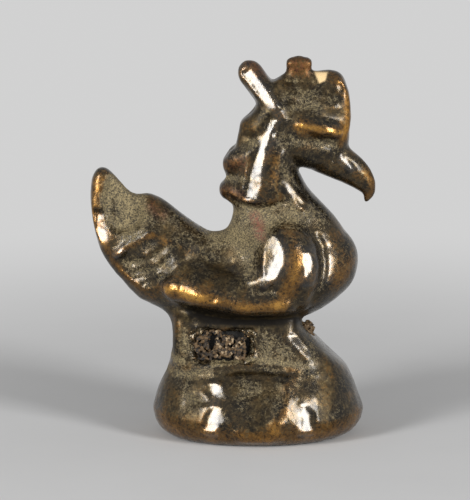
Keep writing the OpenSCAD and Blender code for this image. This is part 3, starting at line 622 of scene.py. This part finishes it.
def carved(mesh, other, operation):
    """What a Boolean step with another mesh leaves."""
    tool = put_in_scene("tool", other)
    settings = {"solver": "MANIFOLD", "operation": operation, "object": tool}
    result = worked(mesh, ("BOOLEAN", settings))
    bpy.data.objects.remove(tool)
    return result


def part_labels(mesh):
    """A number for each vertex that is the same all over a connected part."""
    one, other = edge_ends(mesh)
    labels = np.arange(len(mesh.vertices))
    while True:
        low = np.minimum(labels[one], labels[other])
        spread = labels.copy()
        np.minimum.at(spread, one, low)
        np.minimum.at(spread, other, low)
        spread = spread[spread]
        if np.array_equal(spread, labels):
            return labels
        labels = spread


def part_of(mesh, wanted):
    """A copy of some vertices of a mesh and what lies between them."""
    bm = bmesh.new()
    bm.from_mesh(mesh)
    unwanted = [vertex for vertex, keep in zip(bm.verts, wanted) if not keep]
    bmesh.ops.delete(bm, geom=unwanted, context="VERTS")
    return mesh_of(bm, "part")


def soft_step(share):
    """A share brought to 0..1 with soft ends."""
    share = np.clip(share, 0.0, 1.0)
    return share * share * (3.0 - 2.0 * share)


def away_from(flat, path, closed=False):
    """Distance of points on the bird's side to a line drawn there."""
    nearest = np.full(len(flat), np.inf)
    stops = list(path[1:]) + ([path[0]] if closed else [])
    for start, end in zip(path, stops):
        start = np.array(start)
        run = np.array(end) - start
        share = np.clip((flat - start) @ run / (run @ run), 0.0, 1.0)
        gap = np.linalg.norm(flat - start - share[:, None] * run, axis=1)
        nearest = np.minimum(nearest, gap)
    return nearest


class Skin:
    """Points and normals of a mesh, to be moved like wax under a tool."""

    def __init__(self, mesh):
        self.mesh = mesh
        self.ends = edge_ends(mesh)
        self.valence = np.bincount(self.ends.reshape(-1), minlength=len(mesh.vertices))
        self.refresh()

    def refresh(self):
        count = len(self.mesh.vertices)
        self.points = np.empty(count * 3)
        self.mesh.vertices.foreach_get("co", self.points)
        self.points = self.points.reshape(-1, 3)
        self.normals = np.empty(count * 3)
        self.mesh.vertex_normals.foreach_get("vector", self.normals)
        self.normals = self.normals.reshape(-1, 3)

    def place(self, points):
        self.mesh.vertices.foreach_set("co", points.reshape(-1))
        self.mesh.update()
        self.refresh()

    def push(self, amount):
        """Moves every point out along its normal."""
        self.place(self.points + self.normals * amount[:, None])

    def press(self, amount):
        """Moves points towards the bird's middle plane."""
        points = self.points.copy()
        depth = np.abs(points[:, 1])
        least = np.minimum(depth, THINNEST)
        points[:, 1] = np.sign(points[:, 1]) * np.maximum(depth - amount, least)
        self.place(points)

    def thin(self, where, thickness):
        """Brings points that stand further out down to a distance from the middle plane."""
        over = np.maximum(np.abs(self.points[:, 1]) - thickness, 0.0)
        self.press(over * where)

    def average(self, points):
        """Mean of each point's neighbours."""
        one, other = self.ends
        count = len(self.valence)
        means = []
        for values in points.T:
            total = np.bincount(one, values[other], count)
            total = total + np.bincount(other, values[one], count)
            means.append(total / self.valence)
        return np.stack(means, 1)

    def relax(self, times, where=1.0, fill_only=False):
        """Softens the skin; with fill_only just its inside corners, as run-in wax does."""
        points = self.points.copy()
        for _ in range(times):
            move = self.average(points) - points
            share = np.full(len(points), RELAX_SHARE) * where
            if fill_only:
                outward = np.einsum("ij,ij->i", move, self.normals)
                share = share * np.clip(outward / FILL_START, 0.0, 1.0)
            points += move * share[:, None]
        self.place(points)

    def hollowness(self, times):
        """How far each point stands out of its surroundings; less than none in a hollow."""
        points = self.points.copy()
        for _ in range(times):
            points = (1.0 - SMOOTH_SHARE) * points + SMOOTH_SHARE * self.average(points)
        return np.einsum("ij,ij->i", self.points - points, self.normals)

    def wave(self, size, seed, octaves=2):
        """Even noise from about -1 to 1 with bumps of a given size."""
        shift = Vector([seed * step for step in WAVE_STEPS])
        heights = [
            noise.fractal(Vector(p) / size + shift, 1.0, 2.0, octaves) for p in self.points
        ]
        return np.array(heights)

    def along(self, path, width):
        """Nearness, 1 to 0, to a line drawn on the bird's side."""
        return soft_step(1.0 - away_from(self.points[:, [0, 2]], path) / width)

    def inside(self, outline, edge):
        """1 inside an outline drawn on the bird's side, 0 outside, with a soft edge."""
        flat = self.points[:, [0, 2]]
        within = np.zeros(len(flat), dtype=bool)
        for start, end in zip(outline, outline[1:] + outline[:1]):
            crosses = (start[1] > flat[:, 1]) != (end[1] > flat[:, 1])
            rise = (flat[:, 1] - start[1]) / (end[1] - start[1] + 1e-9)
            within ^= crosses & (flat[:, 0] < start[0] + rise * (end[0] - start[0]))
        gap = away_from(flat, outline, closed=True)
        return soft_step(0.5 + np.where(within, gap, -gap) / edge)

    def facet(self, line, outline, edge, tilt, lean, curve, reach, lift):
        """Lays a flat or hollow face from a line on the skin down to one side."""
        flat = self.points[:, [0, 2]]
        depth = np.abs(self.points[:, 1])
        stops = np.array(sorted(line, key=lambda stop: stop[1]))
        tops = []
        for stop in stops:
            near = np.linalg.norm(flat - stop, axis=1) < FACET_PROBE
            tops.append(depth[near].max())
        if lean is not None:
            middle = len(stops) // 2
            tops = tops[middle] + (stops - stops[middle]) @ np.array([tilt, lean])
        gap = np.abs(flat[:, 0] - np.interp(flat[:, 1], stops[:, 1], stops[:, 0]))
        level = np.interp(flat[:, 1], stops[:, 1], tops)
        goal = level - np.abs(tilt) * gap + curve * gap * gap
        where = self.inside(outline, edge) * (1.0 - soft_step(gap / reach - 1.0))
        self.press(np.maximum(depth - goal, -lift) * where)

    def laid(self, places, join, spread=1.0):
        """How strongly the places of a table mark each point."""
        total = np.zeros(len(self.points))
        for path, width, strength in places.values():
            total = join(total, strength * self.along(path, width * spread))
        return total

    def search_tree(self):
        tree = KDTree(len(self.points))
        for index, point in enumerate(self.points):
            tree.insert(point, index)
        tree.balance()
        return tree


def roll_beads(path):
    """Places of the beads that make up a roll."""
    beads = []
    stops = np.array(path, dtype=float)
    for start, end in zip(stops[:-1], stops[1:]):
        length = np.linalg.norm(end[:3] - start[:3])
        steps = max(2, int(length / (BEAD_STEP * min(start[3], end[3]))))
        for step in range(steps + 1):
            x, y, z, radius = start + (end - start) * step / steps
            beads.append(Matrix.Translation((x, y, z)) @ Matrix.Scale(radius, 4))
    return beads


def lay_wax(wax, beads, fineness):
    """Lays a roll of wax, or crumbs, on both sides of the bird."""
    bm = bmesh.new()
    for bead in beads:
        bmesh.ops.create_icosphere(bm, subdivisions=fineness, radius=1.0, matrix=bead)
    roll = bpy.data.meshes.new("roll")
    bm.to_mesh(roll)
    wax.from_mesh(roll)
    bmesh.ops.scale(bm, vec=(1.0, -1.0, 1.0), verts=bm.verts)
    bmesh.ops.reverse_faces(bm, faces=bm.faces)
    bm.to_mesh(roll)
    wax.from_mesh(roll)
    bm.free()


def make_skin():
    """The whole casting as one closed skin, worked as wax is."""
    bm = bmesh.new()
    bm.from_mesh(merged_copy(BRONZE_NODES, "casting"))
    for path in WAX_ROLLS.values():
        lay_wax(bm, roll_beads(path), BEAD_FINENESS)
    skin = Skin(worked(mesh_of(bm, "wax"), voxels(SKIN_VOXEL)))
    skin.relax(SOFTEN_ROLLS)
    skin.relax(FILL_CORNERS, fill_only=True)
    for outline, edge, times in MELTED.values():
        skin.relax(times, where=skin.inside(outline, edge), fill_only=True)
    for outline, edge, times in STROKED.values():
        skin.relax(times, where=skin.inside(outline, edge))
    for outline, edge, thickness in THINNED.values():
        skin.thin(skin.inside(outline, edge), thickness)
    for line, rest, *fall in FACETS.values():
        skin.facet(line, line + rest, *fall)
    for path, width, depth in PRESSED.values():
        skin.press(skin.along(path, width) * depth)
    skin.relax(SOFTEN_FORMS)
    for path, width, height in TOOLED.values():
        facing = soft_step(np.abs(skin.normals[:, 1]) * TOOL_FACING)
        skin.push(skin.along(path, width) * height * facing)
    skin.relax(SOFTEN_LINES)
    skin.push(sum(height * skin.wave(size, seed) for height, size, seed in UNEVEN))
    from_wall = np.abs(np.abs(skin.points[:, 1]) - STAY_FACE)
    ragged = skin.along(WINDOW_EDGE, RAGGED_WIDTH) * soft_step(RAGGED_REACH - from_wall)
    skin.push(ragged * (RAGGED_HEIGHT * skin.wave(*RAGGED_WAVE) - RAGGED_LOSS))
    low, high = (np.array(corner) / MM for corner in cad_box)
    skin.place(np.clip(skin.points, low, high))
    return skin


def rise(values, full, strength):
    """Values brought to 0..strength, which they reach at full."""
    return strength * np.clip(values / full, 0.0, 1.0)


def finish_marks(skin):
    """Strength of gold (less than none where black shade is painted), earth, fresh metal, red and
    dullness at each point of the skin.
    """
    fine = skin.hollowness(FINE_TURNS)
    broad = skin.hollowness(BROAD_TURNS)
    upward = soft_step(UPWARD_GAIN * skin.normals[:, 2])
    overhang = skin.points[:, 2] > UNDERSIDE_SHADE_FROM
    underside_shade = soft_step(-UNDERSIDE_SHADE_GAIN * skin.normals[:, 2]) * overhang
    gold = rise(broad, *GOLD_ON_FORMS) + rise(fine, *GOLD_ON_EDGES)
    gold += skin.laid(RUBBED, np.add)
    # Deep hollows lose their gold and go black: tarnish and painted shade.
    gold -= rise(-broad - DEEP_DARK_START, *DEEP_TARNISH_AND_SHADE)
    # Upward faces are less rubbed; downward faces high on the bird lose gold as painted shade.
    gold *= (1.0 - UNRUBBED_AND_SHADED * upward) * (1.0 - UNRUBBED_AND_SHADED * underside_shade)
    dust = rise(-broad, *EARTH_IN_HOLLOWS) + rise(-fine, *EARTH_IN_PITS)
    dust += skin.laid(DUSTED, np.add, MARK_SPREAD)
    dust += EARTH_ALL_OVER * (1.0 - np.clip(gold, 0.0, 1.0))
    return {
        "gold": np.clip(gold, *GOLD_LIMITS),
        "dust": np.clip(dust, *DUST_LIMITS),
        "nick": skin.inside(NICK, NICK_EDGE) * (skin.points[:, 1] < NICK_BACK),
        "rust": skin.laid(RUSTED, np.maximum),
        "dull": skin.laid(DULLED, np.maximum, MARK_SPREAD),
    }


def add_mark(mesh, name, values):
    layer = mesh.attributes.new(name, "FLOAT", "POINT")
    layer.data.foreach_set("value", values)


def mark_piece(mesh, tree, marks):
    """Gives a piece the marks of the skin that it was cut from."""
    found = [tree.find(vertex.co)[1] for vertex in mesh.vertices]
    for name, values in marks.items():
        add_mark(mesh, name, values[found])


def split_pieces(skin):
    """Cuts the closed skin into one closed piece for each node."""
    rest = skin.mesh
    pieces = {}
    for node in BRONZE_NODES[:-1]:
        form = worked(
            merged_copy([node], node),
            voxels(CUTTER_VOXEL),
            swell(CUTTER_GROWTH),
            voxels(CUTTER_VOXEL),
        )
        pieces[node] = carved(rest, form, "INTERSECT")
        rest = carved(rest, form, "DIFFERENCE")
    return join_bits(pieces, rest)


def join_bits(pieces, rest):
    """Makes the rest the body, and gives each loose bit of it to the piece it touches most."""
    labels = part_labels(rest)
    names, counts = np.unique(labels, return_counts=True)
    largest = names[counts.argmax()]
    kept = labels == largest
    trees = {node: Skin(mesh).search_tree() for node, mesh in pieces.items()}
    for name in names[names != largest]:
        bit = part_of(rest, labels == name)
        touches = {}
        for node, tree in trees.items():
            touches[node] = sum(tree.find(vertex.co)[2] < TOUCH for vertex in bit.vertices)
        owner = max(touches, key=touches.get)
        if touches[owner]:
            pieces[owner] = carved(pieces[owner], bit, "UNION")
        else:
            kept |= labels == name
    pieces[BRONZE_NODES[-1]] = part_of(rest, kept)
    return pieces


def dress(mesh, node, material):
    """Puts a finished mesh in the place of its node."""
    mesh.transform(Matrix.Scale(MM, 4))
    mesh.materials.clear()
    mesh.materials.append(material)
    piece = put_in_scene(node + "_cast", mesh)
    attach(piece, "root")
    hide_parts(node)
    return piece


class Finish:
    """A material under construction."""

    def __init__(self, name):
        self.material = bpy.data.materials.new(name)
        self.material.use_nodes = True
        self.nodes = self.material.node_tree.nodes
        self.links = self.material.node_tree.links
        self.shader = self.nodes["Principled BSDF"]
        place = self.nodes.new("ShaderNodeTexCoord").outputs["Object"]
        scale = self.nodes.new("ShaderNodeVectorMath")
        scale.operation = "SCALE"
        scale.inputs["Scale"].default_value = 1.0 / MM
        self.links.new(place, scale.inputs[0])
        self.place = scale.outputs[0]

    def put(self, socket, value):
        """Gives a socket a link, a colour or a number."""
        if isinstance(value, bpy.types.NodeSocket):
            self.links.new(value, socket)
        elif isinstance(value, tuple):
            socket.default_value = (*value, 1.0)
        else:
            socket.default_value = value

    def feed(self, name, value):
        """Gives a value to the shader."""
        self.put(self.shader.inputs[name], value)

    def mark(self, name):
        """A mark that the piece carries."""
        node = self.nodes.new("ShaderNodeAttribute")
        node.attribute_name = name
        return node.outputs["Fac"]

    def grain(self, size, detail=3.0, roughness=0.55, twist=0.0):
        """Noise with spots of a size in millimetres."""
        node = self.nodes.new("ShaderNodeTexNoise")
        self.links.new(self.place, node.inputs["Vector"])
        node.inputs["Scale"].default_value = 1.0 / size
        node.inputs["Detail"].default_value = detail
        node.inputs["Roughness"].default_value = roughness
        node.inputs["Distortion"].default_value = twist
        return node.outputs["Fac"]

    def sum(self, one, other, operation="ADD"):
        node = self.nodes.new("ShaderNodeMath")
        node.operation = operation
        self.put(node.inputs[0], one)
        self.put(node.inputs[1], other)
        return node.outputs[0]

    def product(self, one, other):
        return self.sum(one, other, "MULTIPLY")

    def span(self, value, low, high, start=0.0, end=1.0):
        """Value brought from low..high to start..end with soft ends."""
        node = self.nodes.new("ShaderNodeMapRange")
        node.interpolation_type = "SMOOTHSTEP"
        self.put(node.inputs["Value"], value)
        limits = {"From Min": low, "From Max": high, "To Min": start, "To Max": end}
        for socket, number in limits.items():
            node.inputs[socket].default_value = number
        return node.outputs["Result"]

    def mix(self, share, one, other):
        """One colour turned into another by a share."""
        node = self.nodes.new("ShaderNodeMix")
        node.data_type = "RGBA"
        self.put(node.inputs["Factor"], share)
        colours = [socket for socket in node.inputs if socket.type == "RGBA"]
        self.put(colours[0], one)
        self.put(colours[1], other)
        return next(socket for socket in node.outputs if socket.type == "RGBA")

    def relief(self, height, depth):
        """Bump of a given depth in millimetres."""
        node = self.nodes.new("ShaderNodeBump")
        node.inputs["Distance"].default_value = depth * MM
        self.links.new(height, node.inputs["Height"])
        self.links.new(node.outputs["Normal"], self.shader.inputs["Normal"])


def worn_bronze():
    """Tarnished bronze, rubbed to gold, with earth in its hollows and black painted shade under the
    belly and in deep hollows.
    """
    finish = Finish("worn_bronze")
    blotch = finish.grain(*BLOTCH)
    speck = finish.grain(*SPECK)
    fleck = finish.grain(*FLECK)
    pits = finish.grain(*PITS)
    dull = finish.mark("dull")
    fresh = finish.mark("nick")

    gold = finish.sum(finish.mark("gold"), finish.span(blotch, *GOLD_BLOTCH))
    gold = finish.sum(gold, finish.span(speck, *GOLD_SPECK))
    dust = finish.sum(finish.mark("dust"), finish.span(blotch, *DUST_BLOTCH))
    dust = finish.sum(dust, finish.span(speck, *DUST_SPECK))
    dusty = finish.span(dust, *DUST_SHOWS)

    tint = finish.mix(finish.span(blotch, *BROWN_BLOTCH), DARK_BROWN, OLIVE_BROWN)
    for reach, colour in GOLD_STEPS:
        tint = finish.mix(finish.span(gold, *reach), tint, colour)
    tint = finish.mix(finish.span(fleck, *DARK_FLECK), tint, BLACK_TARNISH_AND_SHADE)
    tint = finish.mix(finish.span(fleck, *LIGHT_FLECK), tint, TAN)
    # Tarnish and painted shade: black where the gold mark falls below none.
    tint = finish.mix(finish.span(finish.mark("gold"), *TARNISH_AND_SHADE_SHOWS), tint, BLACK_TARNISH_AND_SHADE)
    earth = finish.mix(finish.span(pits, *EARTH_GRAIN), DARK_EARTH, PALE_EARTH)
    earth = finish.mix(finish.span(fleck, *EARTH_FLECK), earth, BROWN_EARTH)
    colour = finish.mix(dusty, tint, earth)
    rust = finish.product(finish.mark("rust"), finish.span(speck, *RUST_SPECK))
    colour = finish.mix(rust, colour, RED_PATCH)
    finish.feed("Base Color", finish.mix(fresh, colour, FRESH_BREAK))

    metal = finish.product(finish.span(dusty, *DUST_METAL), finish.span(fresh, *BREAK_METAL))
    finish.feed("Metallic", metal)
    rough = finish.sum(finish.span(speck, *SPECK_ROUGH), finish.span(dusty, *DUST_ROUGH))
    finish.feed("Roughness", finish.sum(rough, finish.span(dull, *DULL_ROUGH)))
    coat = finish.product(finish.span(dusty, *DUST_COAT), finish.span(dull, *DULL_COAT))
    coat = finish.product(coat, finish.span(finish.mark("dust"), *POLISHED_COAT))
    finish.feed("Coat Weight", coat)
    finish.feed("Coat Roughness", COAT_ROUGH)

    height = finish.product(speck, finish.span(dusty, *SPECK_RELIEF))
    fine = finish.product(pits, finish.span(dusty, *PIT_RELIEF))
    finish.relief(finish.sum(height, fine), BRONZE_RELIEF)
    return finish.material


def fired_clay():
    """Burnt clay: each crumb has its own shade, and the gaps between are painted nearly black as
    shade.
    """
    finish = Finish("fired_clay")
    grains = finish.grain(*CLAY_GRAIN)
    crumb = finish.mark("crumb")
    # Painted shade: between the crumbs the clay starts near black.
    colour = CLAY_GAP_SHADE
    for reach, shade in CLAY_STEPS:
        colour = finish.mix(finish.span(crumb, *reach), colour, shade)
    colour = finish.mix(finish.span(grains, *CLAY_SPOTS), colour, CLAY_SPOT)
    # Painted shade: hollows of the core go near black.
    colour = finish.mix(finish.span(finish.mark("depth"), *CLAY_HOLLOW_SHADE), colour, CLAY_GAP_SHADE)
    finish.feed("Base Color", colour)
    finish.feed("Roughness", CLAY_ROUGH)
    finish.relief(grains, CLAY_RELIEF)
    return finish.material


def crumb_places():
    """Place, size and shade of each crumb of the core."""
    spread = random.Random(CRUMB_SEED)
    crumbs = []
    while len(crumbs) < CRUMBS:
        x = spread.uniform(*CORE_FACE_X)
        z = spread.uniform(*CORE_FACE_Z)
        size = spread.uniform(*CRUMB_SIZE)
        spot = np.array([[x, z]])
        if any(away_from(spot, path)[0] < width for path, width in CREVICES.values()):
            continue
        place = Matrix.Translation((x, -spread.uniform(*CORE_FACE_Y), z))
        angle = spread.uniform(0.0, math.tau)
        axis = Vector((spread.random(), spread.random(), 1.0))
        depth = size * spread.uniform(*CRUMB_DEPTH)
        height = size * spread.uniform(*CRUMB_HEIGHT)
        turn = Matrix.Rotation(angle, 4, axis)
        stretch = Matrix.Diagonal((size, depth, height, 1.0))
        shade = spread.random() * (1.0 if x > CORE_SHADED else SHADED_CRUMB)
        crumbs.append((place @ turn @ stretch, size, shade))
    while len(crumbs) < CRUMBS + LOOSE_CRUMBS:
        place = Matrix.Translation([spread.uniform(*reach) for reach in LOOSE_REACH])
        size = spread.uniform(*CRUMB_SIZE)
        crumbs.append((place @ Matrix.Scale(size, 4), size, spread.random()))
    return crumbs


def make_core():
    """The crumbling clay core, sunk in its window with crumbs standing in its face."""
    base = Skin(worked(merged_copy(["casting_core"], "clay"), voxels(CORE_VOXEL)))
    facing = soft_step(CORE_FACING * np.abs(base.normals[:, 1]) - CORE_TURNED)
    base.press(CORE_SUNK * facing * base.inside(CORE_OUTLINE, CORE_EDGE))
    bm = bmesh.new()
    bm.from_mesh(base.mesh)
    crumbs = crumb_places()
    lay_wax(bm, [place for place, size, shade in crumbs], CRUMB_FINENESS)
    core = Skin(worked(mesh_of(bm, "core"), voxels(CORE_VOXEL)))
    core.relax(1)
    core.push(CORE_ROUGH * core.wave(*CORE_WAVE))
    outside = 1.0 - core.inside(CORE_OUTLINE, CORE_EDGE)
    loose = core.points[:, 0] > LOOSE_FROM
    core.push(LOOSE_ROUGH * loose * core.wave(*LOOSE_WAVE))
    core.press(CORE_SUNK * outside * ~loose)
    # Inside the window the clay between crumbs keeps shade 0, painted near black as shade.
    shade = outside * (PLAIN_SHADE + PLAIN_MOTTLE * core.wave(*PLAIN_WAVE))
    centres = KDTree(len(crumbs))
    for index, (place, size, tone) in enumerate(crumbs):
        centres.insert(place.translation, index)
    centres.balance()
    for index, (x, y, z) in enumerate(core.points):
        _, found, away = centres.find((x, -abs(y), z))
        if away < CRUMB_REACH * crumbs[found][1]:
            shade[index] = crumbs[found][2]
    # How hollow each point is, for the painted shade in the core's hollows.
    add_mark(core.mesh, "depth", -core.hollowness(CORE_TURNS))
    add_mark(core.mesh, "crumb", shade)
    return core.mesh


def pale_floor():
    """A pale floor that keeps the shadow and fades into the pale ground far out."""
    finish = Finish("pale_floor")
    shade = finish.mix(finish.span(finish.grain(FLOOR_GRAIN), *FLOOR_MOTTLE), *FLOOR_TONES)
    finish.feed("Base Color", shade)
    finish.feed("Roughness", FLOOR_ROUGH)
    finish.feed("Specular IOR Level", FLOOR_GLOSS)
    rays = finish.nodes.new("ShaderNodeLightPath")
    seen = rays.outputs["Is Camera Ray"]
    for other in OTHER_RAYS:
        seen = finish.sum(seen, rays.outputs[other], "MAXIMUM")
    reach = finish.nodes.new("ShaderNodeVectorMath")
    reach.operation = "LENGTH"
    finish.links.new(finish.place, reach.inputs[0])
    far = finish.span(reach.outputs["Value"], FLOOR_LIT, FLOOR_FADED)
    glow = finish.nodes.new("ShaderNodeEmission")
    glow.inputs["Color"].default_value = PALE
    mixed = finish.nodes.new("ShaderNodeMixShader")
    finish.links.new(finish.product(seen, far), mixed.inputs[0])
    finish.links.new(finish.shader.outputs[0], mixed.inputs[1])
    finish.links.new(glow.outputs[0], mixed.inputs[2])
    finish.links.new(mixed.outputs[0], finish.nodes["Material Output"].inputs["Surface"])
    return finish.material


def make_stage():
    bm = bmesh.new()
    bmesh.ops.create_circle(bm, cap_ends=True, radius=FLOOR_RADIUS, segments=FLOOR_SIDES)
    floor = put_in_scene("floor", mesh_of(bm, "floor"))
    floor.data.materials.append(pale_floor())


def make_lamps():
    """Two tall softboxes, to the left and the right of the camera."""
    for name, side in (("left_softbox", -1.0), ("right_softbox", 1.0)):
        data = bpy.data.lights.new(name, "AREA")
        data.shape = "RECTANGLE"
        data.size, data.size_y = LAMP_SIZE
        data.energy = LAMP_POWER
        lamp = put_in_scene(name, data)
        around = LAMP_AROUND * side
        way = Vector((
            math.sin(around) * math.cos(LAMP_ABOVE),
            -math.cos(around) * math.cos(LAMP_ABOVE),
            math.sin(LAMP_ABOVE),
        ))
        lamp.location = LAMPS_MEET + way * LAMP_AWAY
        aim(lamp, -way)


def make_world():
    """A dim soft light all round, behind which the ground is pale."""
    world = bpy.data.worlds.new("studio")
    bpy.context.scene.world = world
    world.use_nodes = True
    nodes = world.node_tree.nodes
    links = world.node_tree.links
    pale = nodes["Background"]
    pale.inputs["Color"].default_value = PALE
    dim = nodes.new("ShaderNodeBackground")
    dim.inputs["Color"].default_value = DIM
    rays = nodes.new("ShaderNodeLightPath")
    seen = rays.outputs["Is Camera Ray"]
    for other in OTHER_RAYS:
        either = nodes.new("ShaderNodeMath")
        either.operation = "MAXIMUM"
        links.new(seen, either.inputs[0])
        links.new(rays.outputs[other], either.inputs[1])
        seen = either.outputs[0]
    mix = nodes.new("ShaderNodeMixShader")
    links.new(seen, mix.inputs[0])
    links.new(dim.outputs[0], mix.inputs[1])
    links.new(pale.outputs[0], mix.inputs[2])
    links.new(mix.outputs[0], nodes["World Output"].inputs["Surface"])


set_camera()
skin = make_skin()
marks = finish_marks(skin)
bronze = worn_bronze()
clay = fired_clay()
tree = skin.search_tree()
for node, mesh in split_pieces(skin).items():
    mark_piece(mesh, tree, marks)
    dress(mesh, node, bronze)
dress(make_core(), "casting_core", clay)
make_stage()
make_lamps()
make_world()
bpy.context.scene.view_settings.view_transform = "Standard"
